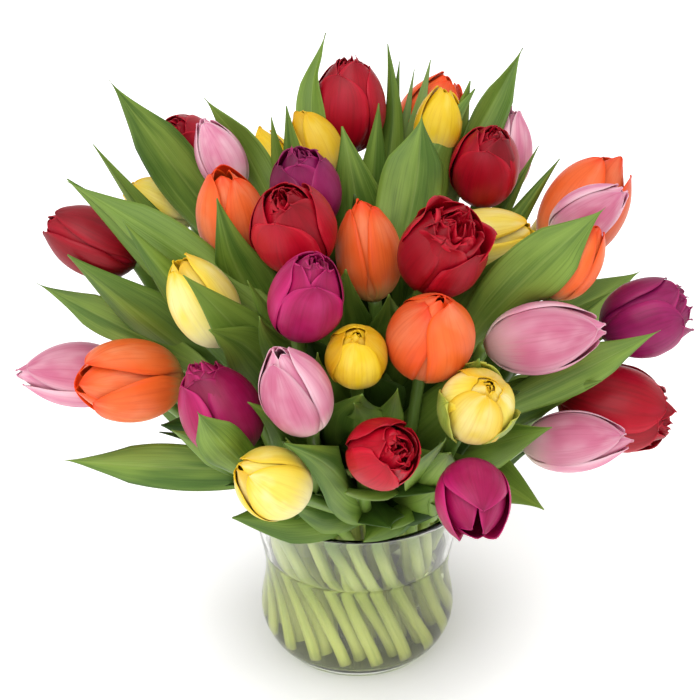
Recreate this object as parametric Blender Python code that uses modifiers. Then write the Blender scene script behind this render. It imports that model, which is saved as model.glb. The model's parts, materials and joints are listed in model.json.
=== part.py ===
"""A bouquet of mixed colour tulips standing in a clear glass vase of water.

Units are metres, +Z is up. The vase stands on Z = 0 with its axis on Z, and the front of
the bouquet faces -Y. A bearing is counted from the front: 90 is to the right (+X), 180 is
the back and -90 the left. A lean is counted from the vertical.
"""

import math

import bmesh
import bpy
import numpy as np

# ---- driving dimensions -------------------------------------------------------------------

VASE_HEIGHT = 0.112
VASE_WALL = 0.003
VASE_FLOOR = 0.008
VASE_BASE_RADIUS = 0.043
# (height, outer radius): a low belly, a slight waist and a flared mouth.
VASE_SHAPE = [
    (0.0, 0.046),
    (0.008, 0.0535),
    (0.024, 0.0587),
    (0.054, 0.0556),
    (0.085, 0.061),
    (0.112, 0.069),
]
VASE_STEPS = 40
VASE_RINGS = 9
LIP_RINGS = 5
# How far the outside starts above the table, and the inside above the vase's floor.
FOOT_BEVEL = 0.003
INSIDE_CORNER = 0.006

WATER_LEVEL = 0.068
WATER_RINGS = 6
FIT_GAP = 0.0003
# The bores in the water are cut from a little more of each stem than stands in it.
BORE_REACH = 0.03

STEM_RADIUS = 0.0036
STEM_GAP = 0.0014
STEM_RINGS = 10
STEM_BEADS = 5
STEM_ROUNDS = 160
STEM_SMOOTHING = 0.15
NECK_HEIGHT = 0.100
FOOT_HEIGHT = VASE_FLOOR + 0.0032
# The stems are tied as a spiral: rings of (how many stems, radius at the neck).
SPIRAL = [(16, 0.052), (12, 0.040), (8, 0.028), (4, 0.0155), (1, 0.0)]
SPIRAL_TURN = 82
SPIRAL_STAGGER = 11
FOOT_SPREAD = 0.84
# A stem runs straight into its head over this share of its way from the neck.
STRAIGHT_SHARE = 0.28

GATHER = np.array([0.0, 0.0, 0.115])
CURVE_STEPS = 24
TULIP_SIDES = 6
HEAD_GAP = 0.0012
HEAD_BEADS = 13
HEAD_ROUNDS = 60
# (share of the head's length, share of its half width): a goblet that closes towards its tip.
HEAD_SHAPE = [
    (0.02, 0.30),
    (0.10, 0.66),
    (0.25, 0.93),
    (0.45, 1.0),
    (0.65, 0.92),
    (0.84, 0.68),
    (1.0, 0.30),
]

# One row for each tulip: name, bearing, lean and reach (mm) of the middle of its head from
# GATHER, bearing and lean of the way the head faces, its length and its width (mm).
TULIPS = [
    ("red_tulip_1", -176, 18, 220, 170, 10, 57, 42),
    ("red_tulip_2", 120, 23, 202, 30, 15, 53, 39),
    ("red_tulip_3", -122, 32, 220, -40, 35, 45, 34),
    ("red_tulip_4", -32, 19, 205, -30, 25, 56, 46),
    ("red_tulip_5", 32, 25, 200, 45, 30, 53, 46),
    ("red_tulip_6", -86, 43, 220, -95, 65, 56, 36),
    ("red_tulip_7", 76, 66, 165, 80, 100, 65, 48),
    ("red_tulip_8", 5, 54, 180, 35, 55, 43, 36),
    ("red_tulip_9", 168, 43, 190, 160, 35, 54, 40),
    ("orange_tulip_1", 156, 29, 215, 130, 35, 59, 37),
    ("orange_tulip_2", -70, 22, 200, -105, 10, 59, 37),
    ("orange_tulip_3", 8, 13, 175, -150, 15, 58, 35),
    ("orange_tulip_4", 104, 40, 210, 120, 40, 70, 45),
    ("orange_tulip_5", 66, 37, 215, 105, 30, 49, 29),
    ("orange_tulip_6", -66, 55, 170, -65, 80, 63, 44),
    ("orange_tulip_7", 21, 36, 190, 30, 20, 57, 46),
    ("orange_tulip_8", 140, 62, 172, 140, 65, 58, 38),
    ("yellow_tulip_1", 134, 20, 215, 155, 25, 45, 26),
    ("yellow_tulip_2", -141, 11, 205, -130, 35, 45, 28),
    ("yellow_tulip_3", -111, 38, 200, -100, 65, 45, 27),
    ("yellow_tulip_4", 101, 26, 173, 80, 75, 57, 34),
    ("yellow_tulip_5", -51, 35, 190, -110, 30, 57, 36),
    ("yellow_tulip_6", 3, 37, 185, 0, 25, 41, 33),
    ("yellow_tulip_7", 25, 47, 190, 25, 35, 46, 40),
    ("yellow_tulip_8", -18, 60, 175, -60, 50, 50, 38),
    ("yellow_tulip_9", -155, 40, 190, -150, 40, 56, 34),
    ("yellow_tulip_10", 118, 48, 190, 120, 60, 56, 36),
    ("pink_tulip_1", 129, 32, 210, 165, 25, 51, 27),
    ("pink_tulip_2", -105, 22, 215, -130, 35, 47, 26),
    ("pink_tulip_3", 81, 35, 225, 80, 50, 51, 28),
    ("pink_tulip_4", -87, 66, 180, -85, 85, 68, 36),
    ("pink_tulip_5", -14, 45, 195, -70, 20, 57, 36),
    ("pink_tulip_6", 52, 43, 190, 90, 80, 68, 38),
    ("pink_tulip_7", 58, 64, 160, 80, 80, 62, 33),
    ("pink_tulip_8", -175, 64, 170, -175, 70, 60, 34),
    ("magenta_tulip_1", -15, 31, 205, 50, 15, 53, 39),
    ("magenta_tulip_2", -35, 50, 170, -115, 30, 56, 43),
    ("magenta_tulip_3", 85, 55, 200, 95, 70, 53, 42),
    ("magenta_tulip_4", 22, 62, 183, 5, 105, 49, 38),
    ("magenta_tulip_5", -135, 64, 172, -130, 70, 52, 40),
    ("magenta_tulip_6", -75, 9, 195, -65, 10, 51, 39),
]

# Two moving pieces each take this share of the way apart. A point that few beads ride on moves
# no further than this floor allows. The last rounds only part the pieces, with no smoothing.
PAIR_SHARE = 0.55
PUSH_FLOOR = 0.35
LAST_ROUNDS = 20

LEAF_THICKNESS = 0.0016
LEAF_CHANNEL = 0.35
LEAF_GAP = 0.0010
LEAF_RINGS = 9
LEAF_STRIPS = 3
LEAF_ROUNDS = 100
LEAF_SMOOTHING = 0.2
LEAF_WIDTH_HOLD = 0.5
LEAF_SQUARE_HOLD = 0.5
FIRST_LEAF_OWNER = 1000
# (share of the leaf's length, share of its half width): a strap that ends in a long point.
LEAF_SHAPE = [
    (0.0, 0.40),
    (0.2, 0.78),
    (0.45, 1.0),
    (0.65, 0.93),
    (0.82, 0.62),
    (0.94, 0.28),
    (1.0, 0.08),
]

# Leaves beyond this bearing face the back.
BACK_BEARING = 125

# One row for each leaf: name, then its root, its middle and its tip, each as bearing, lean and
# reach (mm) from GATHER, its width (mm), and how far it is rolled about its own length.
LEAVES = [
    ("leaf_1", (-105, 26, 140), (-113, 32, 215), (-104, 31, 280), 30, 0),
    ("leaf_2", (-35, 28, 150), (-58, 33, 220), (-81, 38, 262), 24, 0),
    ("leaf_3", (-65, 46, 130), (-78, 51, 185), (-88, 54, 226), 22, 0),
    ("leaf_4", (-30, 60, 85), (-52, 68, 140), (-72, 76, 183), 26, 0),
    ("leaf_5", (-25, 60, 150), (-26, 58, 188), (-28, 52, 226), 24, 0),
    ("leaf_6", (-30, 76, 62), (-12, 66, 128), (-14, 52, 197), 30, 0),
    ("leaf_7", (-95, 14, 160), (-112, 18, 205), (-115, 23, 246), 22, 0),
    ("leaf_8", (-120, 10, 170), (-165, 16, 220), (-168, 20, 262), 18, 0),
    ("leaf_9", (40, 12, 150), (75, 12, 195), (124, 11, 228), 40, 0),
    ("leaf_10", (125, 22, 170), (133, 28, 220), (136, 31, 270), 26, 0),
    ("leaf_11", (42, 35, 150), (48, 34, 215), (67, 35, 252), 34, 0),
    ("leaf_12", (42, 50, 135), (58, 52, 185), (73, 54, 217), 22, 0),
    ("leaf_13", (38, 72, 62), (15, 62, 135), (17, 53, 197), 28, 0),
    ("leaf_14", (180, 45, 120), (178, 56, 190), (175, 62, 235), 30, 0),
    ("leaf_15", (-166, 50, 105), (-158, 58, 175), (-156, 66, 218), 30, 0),
    ("leaf_16", (110, 55, 110), (116, 62, 170), (118, 66, 215), 28, 0),
    ("leaf_17", (150, 60, 80), (158, 78, 135), (160, 94, 165), 26, 0),
]

# Linear light values, as the shader takes them.
COLOURS = {
    "red": (0.48, 0.01, 0.03),
    "orange": (0.80, 0.16, 0.03),
    "yellow": (0.90, 0.68, 0.04),
    "pink": (0.75, 0.35, 0.50),
    "magenta": (0.36, 0.02, 0.16),
    "leaf": (0.14, 0.27, 0.07),
}


# ---- small helpers ------------------------------------------------------------------------


def clear_scene():
    for old in list(bpy.data.objects):
        bpy.data.objects.remove(old)


def direction(bearing, lean):
    """The unit vector at a bearing from the front and a lean from the vertical."""
    turn, tip = math.radians(bearing), math.radians(lean)
    return np.array([math.sin(tip) * math.sin(turn), -math.sin(tip) * math.cos(turn), math.cos(tip)])


def unit(vector):
    return vector / np.linalg.norm(vector)


def place(bearing, lean, reach_mm):
    return GATHER + direction(bearing, lean) * reach_mm / 1000


def smooth_line(points, count):
    """Count points, evenly spaced, on a smooth curve through the given ones (Catmull-Rom)."""
    points = np.array(points, float)
    padded = np.vstack([2 * points[0] - points[1], points, 2 * points[-1] - points[-2]])
    t = np.linspace(0, 1, CURVE_STEPS, endpoint=False)[:, None]
    fine = []
    for a, b, c, d in zip(padded, padded[1:], padded[2:], padded[3:]):
        bend = (c - a) * t + (2 * a - 5 * b + 4 * c - d) * t**2 + (3 * b - a - 3 * c + d) * t**3
        fine.append(b + 0.5 * bend)
    fine = np.vstack([*fine, points[-1:]])
    along = np.concatenate([[0], np.cumsum(np.linalg.norm(np.diff(fine, axis=0), axis=1))])
    wanted = np.linspace(0, along[-1], count)
    return np.column_stack([np.interp(wanted, along, fine[:, i]) for i in range(fine.shape[1])])


def material(name, colour, roughness, transmission=0.0, alpha=1.0):
    made = bpy.data.materials.new(name)
    made.use_nodes = True
    shader = made.node_tree.nodes["Principled BSDF"]
    shader.inputs["Base Color"].default_value = (*colour, 1)
    shader.inputs["Roughness"].default_value = roughness
    shader.inputs["Transmission Weight"].default_value = transmission
    shader.inputs["Alpha"].default_value = alpha
    return made


def new_object(name, mesh, collection, surface=None):
    made = bpy.data.objects.new(name, mesh)
    collection.objects.link(made)
    if surface:
        mesh.materials.append(surface)
    mesh.shade_smooth()
    return made


def loft(bm, rings):
    """One closed skin over the rings, each a list of points in the same order."""
    corners = [[bm.verts.new(point) for point in ring] for ring in rings]
    count = len(corners[0])
    bm.faces.new(reversed(corners[0]))
    bm.faces.new(corners[-1])
    for low, high in zip(corners, corners[1:]):
        for i in range(count):
            j = (i + 1) % count
            bm.faces.new((low[i], low[j], high[j], high[i]))


def blade(bm, rings):
    """A thin skin over rings of left edge, lower midrib, right edge and upper midrib.

    Its upper and lower faces are split along the same diagonals, so that they never cross.
    """
    corners = [[bm.verts.new(point) for point in ring] for ring in rings]
    for left, lower, right, upper in (corners[0], corners[-1]):
        bm.faces.new((left, lower, upper))
        bm.faces.new((lower, right, upper))
    for low, high in zip(corners, corners[1:]):
        for edge, rib in ((0, 1), (0, 3), (2, 1), (2, 3)):
            bm.faces.new((low[edge], low[rib], high[rib]))
            bm.faces.new((low[edge], high[rib], high[edge]))


def mesh_of(name, ring_sets, skin=loft):
    bm = bmesh.new()
    for rings in ring_sets:
        skin(bm, rings)
    bmesh.ops.recalc_face_normals(bm, faces=bm.faces)
    mesh = bpy.data.meshes.new(name)
    bm.to_mesh(mesh)
    bm.free()
    return mesh


def round_rings(line, radii, sides):
    """Rings of a round piece along a line, turned as little as the line allows."""
    ahead = np.gradient(line, axis=0)
    side = unit(np.cross(ahead[0], [0.31, 0.95, 0.1]))
    angles = np.arange(sides) * 2 * math.pi / sides
    rings = []
    for centre, way, radius in zip(line, ahead, radii):
        way = unit(way)
        side = unit(side - way * (side @ way))
        other = np.cross(way, side)
        ring = centre + radius * (np.outer(np.cos(angles), side) + np.outer(np.sin(angles), other))
        rings.append(ring)
    return rings


# ---- vase and water -----------------------------------------------------------------------


def vase_radius(height):
    """The outer radius of the vase at a height, on a smooth curve through its shape."""
    line = smooth_line(VASE_SHAPE, 60)
    return np.interp(height, line[:, 0], line[:, 1])


def turned(name, profile, collection, surface):
    """A solid turned about Z from a profile of (radius, height) that runs down its outer side."""
    mesh = bpy.data.meshes.new(name)
    count = len(profile)
    mesh.from_pydata([(r, 0, z) for r, z in profile], [(i, i + 1) for i in range(count - 1)], [])
    made = new_object(name, mesh, collection, surface)
    screw = made.modifiers.new("turn", "SCREW")
    screw.steps = screw.render_steps = VASE_STEPS
    screw.use_merge_vertices = True
    screw.merge_threshold = 0.00001
    screw.use_smooth_shade = True
    return made


def rim_arc(count):
    """The round lip, from its inner side over the top to its outer side."""
    half = VASE_WALL / 2
    middle = vase_radius(VASE_HEIGHT) - half
    centre = VASE_HEIGHT - half
    angles = np.linspace(math.pi, 0, count)
    return [(middle + half * math.cos(a), centre + half * math.sin(a)) for a in angles]


def inner_wall(gap, top, count):
    """(radius, height) up the inside of the vase, a gap away from the glass."""
    heights = np.linspace(VASE_FLOOR + INSIDE_CORNER, top, count)
    wall = [(vase_radius(z) - VASE_WALL - gap, z) for z in heights]
    flat = VASE_FLOOR + gap
    flat_edge = wall[0][0] - 1.5 * INSIDE_CORNER
    bend = (wall[0][0] - 0.4 * INSIDE_CORNER, flat + INSIDE_CORNER / 3)
    return [(0, flat), (flat_edge, flat), bend] + wall


def make_vase(collection, glass):
    lip = VASE_HEIGHT - VASE_WALL / 2
    outside = [(vase_radius(z), z) for z in np.linspace(lip, FOOT_BEVEL, VASE_RINGS)[1:]]
    profile = inner_wall(0, lip, VASE_RINGS)[:-1] + rim_arc(LIP_RINGS) + outside
    return turned("vase", profile + [(VASE_BASE_RADIUS, 0), (0, 0)], collection, glass)


def make_water(collection, cutters, routes, surface):
    """The water, with a bore round each stem that stands in it."""
    profile = inner_wall(FIT_GAP, WATER_LEVEL, WATER_RINGS) + [(0, WATER_LEVEL)]
    made = turned("water", profile, collection, surface)
    bores = []
    for route in routes:
        wet = route[route[:, 2] < WATER_LEVEL + BORE_REACH]
        sunk = wet[0] - unit(wet[1] - wet[0]) * 2 * FIT_GAP
        line = np.vstack([sunk, wet[1:]])
        bores.append(round_rings(line, [STEM_RADIUS + FIT_GAP] * len(line), TULIP_SIDES))
    cutter = new_object("stem_bores", mesh_of("stem_bores", bores), cutters)
    cutter.hide_render = True
    cutter.display_type = "WIRE"
    cut = made.modifiers.new("bores", "BOOLEAN")
    cut.object = cutter
    return made


# ---- easing pieces apart ------------------------------------------------------------------


class Piece:
    """A soft piece: its points, and beads of a radius that ride on them by weights.

    Free is 1 for a point that may move and 0 for one that may not. Pieces of one owner may touch.
    """

    def __init__(self, owner, points, weights, radii, free, offsets=0.0):
        self.owner = owner
        self.points = points
        self.weights = weights
        self.radii = radii
        self.free = free
        self.offsets = offsets

    def beads(self):
        return self.weights @ self.points + self.offsets

    def push(self, moves):
        """Shares the beads' moves out to the free points, by the same weights."""
        total = self.weights.T @ (np.abs(moves).sum(axis=1) > 0).astype(float)
        shared = self.weights.T @ moves / np.maximum(total, PUSH_FLOOR)[:, None]
        self.points = self.points + shared * self.free[:, None]


def crowding(beads, radii, owners, others, other_radii, other_owners, gap):
    """How far each bead has to move to leave the gap to the beads of other owners."""
    squares = (beads**2).sum(1)[:, None] + (others**2).sum(1)[None] - 2 * beads @ others.T
    depth = radii[:, None] + other_radii[None] + gap - np.sqrt(np.maximum(squares, 0))
    depth[owners[:, None] == other_owners[None]] = 0
    nearest = depth.argmax(axis=1)
    deepest = np.maximum(depth[np.arange(len(beads)), nearest], 0)
    away = beads - others[nearest]
    distance = np.maximum(np.linalg.norm(away, axis=1), 1e-6)
    return away * (deepest / distance)[:, None]


def gather_beads(pieces):
    beads = np.vstack([piece.beads() for piece in pieces])
    radii = np.concatenate([piece.radii for piece in pieces])
    owners = np.concatenate([np.full(len(piece.radii), piece.owner) for piece in pieces])
    return beads, radii, owners


def off_the_glass(beads, radii, gap):
    """How far each bead has to move to clear the vase's wall, on the side where it is."""
    heights = np.clip(beads[:, 2], 0, VASE_HEIGHT - VASE_WALL / 2)
    middle = vase_radius(heights) - VASE_WALL / 2
    across = np.maximum(np.linalg.norm(beads[:, :2], axis=1), 1e-6)
    outward = np.column_stack([beads[:, :2] / across[:, None], np.zeros(len(beads))])
    nearest = outward * middle[:, None]
    nearest[:, 2] = heights
    away = beads - nearest
    distance = np.maximum(np.linalg.norm(away, axis=1), 1e-6)
    depth = np.maximum(radii + VASE_WALL / 2 + gap - distance, 0)
    return away / distance[:, None] * depth[:, None]


def ease_apart(pieces, still, gap, rounds, relax=None):
    """Moves the pieces' free points until their beads leave each other, and the still ones, a gap."""
    fixed = gather_beads(still) if still else None
    for turn in range(rounds):
        beads, radii, owners = gather_beads(pieces)
        moves = PAIR_SHARE * crowding(beads, radii, owners, beads, radii, owners, gap)
        if fixed:
            moves += crowding(beads, radii, owners, *fixed, gap)
        moves += off_the_glass(beads, radii, gap)
        start = 0
        for piece in pieces:
            end = start + len(piece.radii)
            piece.push(moves[start:end])
            start = end
        if relax and turn < rounds - LAST_ROUNDS:
            relax(pieces)
    beads, radii, owners = gather_beads(pieces)
    left = crowding(beads, radii, owners, beads, radii, owners, gap)
    if fixed:
        left = np.vstack([left, crowding(beads, radii, owners, *fixed, gap)])
    worst = np.linalg.norm(left, axis=1).max() * 1000
    print(f"{len(pieces)} pieces eased apart, {worst:.2f} mm wanted of a gap of {gap * 1000:.1f} mm")


# ---- tulips -------------------------------------------------------------------------------


def head_pieces():
    """The flower heads as rows of beads, placed by the table and eased apart."""
    stations = np.linspace(0, 1, HEAD_BEADS)
    swell = np.interp(stations, *zip(*HEAD_SHAPE))
    heads = []
    for i, (_, bearing, lean, reach, turn, tip, length, width) in enumerate(TULIPS):
        centre = place(bearing, lean, reach)[None]
        offsets = np.outer((stations - 0.5) * length / 1000, direction(turn, tip))
        radii = swell * width / 2000
        heads.append(Piece(i, centre, np.ones((HEAD_BEADS, 1)), radii, np.ones(1), offsets))
    ease_apart(heads, [], HEAD_GAP, HEAD_ROUNDS)
    return heads


def spiral_slots():
    """(radius, bearing) places at the neck, from the outer ring to the middle."""
    slots = []
    for ring, (count, radius) in enumerate(SPIRAL):
        turn = 360 / count
        slots += [(radius, ring * SPIRAL_STAGGER + i * turn) for i in range(count)]
    return slots


def neck_places(centres):
    """Gives each tulip a place at the neck: the widest lean outside, in order of bearing."""
    spread = np.linalg.norm(centres[:, :2], axis=1)
    order = np.argsort(-spread, kind="stable")
    bearings = np.degrees(np.arctan2(centres[:, 0], -centres[:, 1]))
    slots = spiral_slots()
    places = {}
    for count, _ in SPIRAL:
        ring, order = order[:count], order[count:]
        mine, slots = slots[:count], slots[count:]
        ring = sorted(ring, key=lambda i: bearings[i])
        mine = sorted(mine, key=lambda slot: (slot[1] + 180) % 360 - 180)
        places.update(zip(ring, mine))
    return [places[i] for i in range(len(centres))]


def stem_route(radius, bearing, base, facing):
    """From the foot in the water through the neck to the base of the head, along its facing."""
    neck = radius * direction(bearing, 90)
    foot = radius * FOOT_SPREAD * direction(bearing + SPIRAL_TURN, 90)
    neck[2], foot[2] = NECK_HEIGHT, FOOT_HEIGHT
    above_neck = neck + (neck - foot) * 0.12
    before = base - facing * np.linalg.norm(base - neck) * STRAIGHT_SHARE
    between = above_neck * 0.6 + before * 0.4
    return smooth_line([foot, (foot + neck) / 2, neck, between, before, base], STEM_RINGS)


def bead_weights(points, beads_between):
    """Weights that place beads evenly along a line of points."""
    count = (points - 1) * beads_between + 1
    where = np.arange(count) / beads_between
    low = np.minimum(where.astype(int), points - 2)
    weights = np.zeros((count, points))
    weights[np.arange(count), low] = 1 - (where - low)
    weights[np.arange(count), low + 1] += where - low
    return weights


def settle_stems(pieces):
    """Keeps the stems smooth and their feet on the floor of the vase."""
    for piece in pieces:
        bend = np.zeros_like(piece.points)
        bend[1:-1] = (piece.points[:-2] + piece.points[2:]) / 2 - piece.points[1:-1]
        piece.points = piece.points + STEM_SMOOTHING * bend * piece.free[:, None]
        piece.points[0, 2] = FOOT_HEIGHT


def stem_pieces(heads):
    bases = [head.beads()[0] for head in heads]
    centres = np.array([head.points[0] for head in heads])
    free = np.ones(STEM_RINGS)
    free[-1] = 0
    weights = bead_weights(STEM_RINGS, STEM_BEADS)
    radii = np.full(len(weights), STEM_RADIUS)
    stems = []
    for i, (slot, base, row) in enumerate(zip(neck_places(centres), bases, TULIPS)):
        route = stem_route(*slot, base, direction(row[4], row[5]))
        stems.append(Piece(i, route, weights, radii, free))
    ease_apart(stems, heads, STEM_GAP, STEM_ROUNDS, settle_stems)
    return stems


def make_tulip(row, head, stem, collection, surfaces):
    name, _, _, _, turn, tip, length, width = row
    facing = direction(turn, tip)
    base = stem.points[-1]
    head_line = [base + facing * length / 1000 * share for share, _ in HEAD_SHAPE]
    line = np.vstack([stem.points, head_line])
    radii = [STEM_RADIUS] * STEM_RINGS + [width / 2000 * share for _, share in HEAD_SHAPE]
    rings = round_rings(line, radii, TULIP_SIDES)
    return new_object(name, mesh_of(name, [rings]), collection, surfaces[name.split("_")[0]])


# ---- leaves -------------------------------------------------------------------------------


def leaf_facing(bearing):
    """The way a leaf's open side looks: up, and to the nearer of the front and the back."""
    forward = -1 if abs(bearing) < BACK_BEARING else 1
    return unit(np.array([0.25 * math.sin(math.radians(bearing)), 0.75 * forward, 0.5]))


def leaf_cage(root, middle, tip, width_mm, roll):
    """Three points across for each ring: left edge, midrib and right edge."""
    line = smooth_line([place(*root), place(*middle), place(*tip)], LEAF_RINGS)
    ahead = np.gradient(line, axis=0)
    shares = np.interp(np.linspace(0, 1, LEAF_RINGS), *zip(*LEAF_SHAPE))
    cage = []
    for centre, way, share in zip(line, ahead, shares):
        side = unit(np.cross(way, leaf_facing(middle[0])))
        out = unit(np.cross(side, way))
        turn = math.radians(roll)
        across = side * math.cos(turn) + out * math.sin(turn)
        inward = side * math.sin(turn) - out * math.cos(turn)
        half = width_mm / 2000 * share
        edge = inward * half * LEAF_CHANNEL
        cage += [centre - across * half + edge, centre, centre + across * half + edge]
    return np.array(cage)


def rib_widths(cage):
    """How far each edge point of a leaf's rings, left and right, is from its midrib."""
    rings = cage.reshape(LEAF_RINGS, 3, 3)
    return np.linalg.norm(rings[:, [0, 2]] - rings[:, 1:2], axis=2)


def leaf_weights():
    """Weights of the beads over a leaf: seven across, and several between two rings."""
    along = bead_weights(LEAF_RINGS, LEAF_STRIPS)
    across = bead_weights(3, 3)
    return np.einsum("ab,cd->acbd", along, across).reshape(len(along) * len(across), LEAF_RINGS * 3)


def settle_leaves(pieces):
    """Keeps each leaf a smooth ribbon of its own width, with its ribs square to its midrib."""
    for piece in pieces:
        cage = piece.points.reshape(LEAF_RINGS, 3, 3)
        bend = np.zeros_like(cage)
        bend[1:-1] = (cage[:-2] + cage[2:]) / 2 - cage[1:-1]
        cage = cage + LEAF_SMOOTHING * bend
        ahead = np.gradient(cage[:, 1], axis=0)
        ahead = (ahead / np.linalg.norm(ahead, axis=1)[:, None])[:, None]
        ribs = cage[:, [0, 2]] - cage[:, 1:2]
        skew = (ribs * ahead).sum(axis=2, keepdims=True)
        now = np.linalg.norm(ribs, axis=2, keepdims=True)
        wider = LEAF_WIDTH_HOLD * (piece.widths[:, :, None] / now - 1)
        cage[:, [0, 2]] += ribs * wider - LEAF_SQUARE_HOLD * skew * ahead
        piece.points = cage.reshape(-1, 3)


class Leaf(Piece):
    """A soft piece of three points a ring, which keeps the widths that it starts with."""

    def __init__(self, owner, cage, weights):
        radii = np.full(len(weights), LEAF_THICKNESS / 2)
        super().__init__(owner, cage, weights, radii, np.ones(len(cage)))
        self.widths = rib_widths(cage)


def leaf_pieces(others):
    weights = leaf_weights()
    cages = [leaf_cage(*row[1:]) for row in LEAVES]
    leaves = [Leaf(FIRST_LEAF_OWNER + i, cage, weights) for i, cage in enumerate(cages)]
    ease_apart(leaves, others, LEAF_GAP, LEAF_ROUNDS, settle_leaves)
    return leaves


def make_leaf(name, piece, collection, surface):
    """A blade that is thickest along its midrib and thins out to its edges."""
    rings = []
    cage = piece.points.reshape(LEAF_RINGS, 3, 3)
    ahead = np.gradient(cage[:, 1], axis=0)
    for (left, middle, right), way in zip(cage, ahead):
        thick = unit(np.cross(way, right - left)) * LEAF_THICKNESS / 2
        rings.append([left, middle - thick, right, middle + thick])
    return new_object(name, mesh_of(name, [rings], blade), collection, surface)


# ---- the bouquet --------------------------------------------------------------------------


def main():
    clear_scene()
    bouquet = bpy.data.collections.new("tulip_bouquet")
    cutters = bpy.data.collections.new("cutters")
    bpy.context.scene.collection.children.link(bouquet)
    bpy.context.scene.collection.children.link(cutters)
    surfaces = {name: material(name, colour, 0.45) for name, colour in COLOURS.items()}
    glass = material("clear_glass", (0.9, 0.92, 0.9), 0.03, transmission=1.0)
    water = material("vase_water", (0.6, 0.68, 0.45), 0.02, transmission=1.0)

    heads = head_pieces()
    stems = stem_pieces(heads)
    leaves = leaf_pieces(heads + stems)
    make_vase(bouquet, glass)
    make_water(bouquet, cutters, [stem.points for stem in stems], water)
    for row, head, stem in zip(TULIPS, heads, stems):
        make_tulip(row, head, stem, bouquet, surfaces)
    for row, leaf in zip(LEAVES, leaves):
        make_leaf(row[0], leaf, bouquet, surfaces["leaf"])


main()
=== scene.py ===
# %% [markdown]
# # A bouquet of mixed colour tulips
# Forty-one cut tulips stand in a low glass vase of water. The solids that hold the sizes and places are
# packed already, and this script grows the flowers round them: it reads where each stem and head
# goes, and then makes the petals, leaves, glass and light that a florist's customer would see.
#
# The solids are loaded first.

# %% Load the solids
import json
import math

import bpy
import numpy as np
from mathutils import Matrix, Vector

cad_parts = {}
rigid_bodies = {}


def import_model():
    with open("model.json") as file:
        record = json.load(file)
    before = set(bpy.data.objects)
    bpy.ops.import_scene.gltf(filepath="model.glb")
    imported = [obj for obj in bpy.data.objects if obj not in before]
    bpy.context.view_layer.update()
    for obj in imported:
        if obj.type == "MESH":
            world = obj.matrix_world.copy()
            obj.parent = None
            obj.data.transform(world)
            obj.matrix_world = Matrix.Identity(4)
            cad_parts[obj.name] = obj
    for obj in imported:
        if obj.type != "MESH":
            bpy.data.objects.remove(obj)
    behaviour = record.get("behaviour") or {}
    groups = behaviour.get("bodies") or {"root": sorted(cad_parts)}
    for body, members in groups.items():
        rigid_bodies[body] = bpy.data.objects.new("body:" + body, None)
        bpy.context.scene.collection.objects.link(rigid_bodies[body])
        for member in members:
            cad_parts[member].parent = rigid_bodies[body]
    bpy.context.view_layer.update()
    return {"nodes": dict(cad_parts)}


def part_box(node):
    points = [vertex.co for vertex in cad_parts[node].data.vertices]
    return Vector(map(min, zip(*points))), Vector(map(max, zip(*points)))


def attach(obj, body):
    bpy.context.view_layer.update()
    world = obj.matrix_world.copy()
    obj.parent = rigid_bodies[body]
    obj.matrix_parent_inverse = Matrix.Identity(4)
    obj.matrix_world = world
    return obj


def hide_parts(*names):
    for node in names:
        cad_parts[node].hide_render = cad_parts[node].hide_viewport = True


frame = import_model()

# %% [markdown]
# ## Walking over a solid ring by ring
# Each tulip solid is a skin over six-cornered rings, from the foot of its stem to the tip of its
# head, and each leaf solid is one over four-cornered rings. A walk from one end to the other, ring
# by ring, gives back the line that the piece follows. Measuring it this way keeps every flower
# exactly where its solid is, with no second list of places to keep in step.

# %% Rings of a solid
def unit(vector):
    return vector / np.maximum(np.linalg.norm(vector, axis=-1, keepdims=True), 1e-12)


def corners_of(node):
    """The corner points of a solid, and for each one the corners it shares an edge with."""
    mesh = frame["nodes"][node].data
    raw = np.empty(len(mesh.vertices) * 3, np.float32)
    mesh.vertices.foreach_get("co", raw)
    points, index = np.unique(raw.reshape(-1, 3).round(6), axis=0, return_inverse=True)
    index = index.reshape(-1)
    beside = [set() for _ in points]
    for polygon in mesh.polygons:
        face = [index[i] for i in polygon.vertices]
        for i in face:
            beside[i] |= set(face)
    return points.astype(float), beside


def rings_of(node, start, size):
    """The rings of a solid, walked from the ring whose corners are nearest to a start point."""
    points, beside = corners_of(node)
    level = set(np.argsort(np.linalg.norm(points - start, axis=1))[:size].tolist())
    seen, rings = set(level), []
    while level:
        rings.append(points[sorted(level)])
        level = set().union(*(beside[i] for i in level)) - seen
        seen |= level
    return rings


def lowest_corner(node):
    points, _ = corners_of(node)
    return points[points[:, 2].argmin()]


# %% Smooth curves
def smooth_line(points, count):
    """Count points, evenly spaced, on a smooth curve through the given ones (Catmull-Rom)."""
    points = np.asarray(points, float)
    padded = np.vstack([2 * points[0] - points[1], points, 2 * points[-1] - points[-2]])
    t = np.linspace(0, 1, 16, endpoint=False)[:, None]
    fine = []
    for a, b, c, d in zip(padded, padded[1:], padded[2:], padded[3:]):
        bend = (c - a) * t + (2 * a - 5 * b + 4 * c - d) * t**2 + (3 * b - a - 3 * c + d) * t**3
        fine.append(b + 0.5 * bend)
    fine = np.vstack([*fine, points[-1:]])
    along = np.concatenate([[0], np.cumsum(np.linalg.norm(np.diff(fine, axis=0), axis=1))])
    wanted = np.linspace(0, along[-1], count)
    return np.column_stack([np.interp(wanted, along, column) for column in fine.T])


def curve_through(knots, count=200):
    """A function through (place, value) knots, smooth enough to shape a petal or a vase by."""
    line = smooth_line(knots, count)
    return lambda where: np.interp(where, line[:, 0], line[:, 1])


# %% Where each tulip goes
RING_CORNERS = 6
STEM_RINGS = 10
FIRST_HEAD_SHARE = 0.02
TULIP_NODES = [name for name in frame["nodes"] if "_tulip_" in name]


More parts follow.
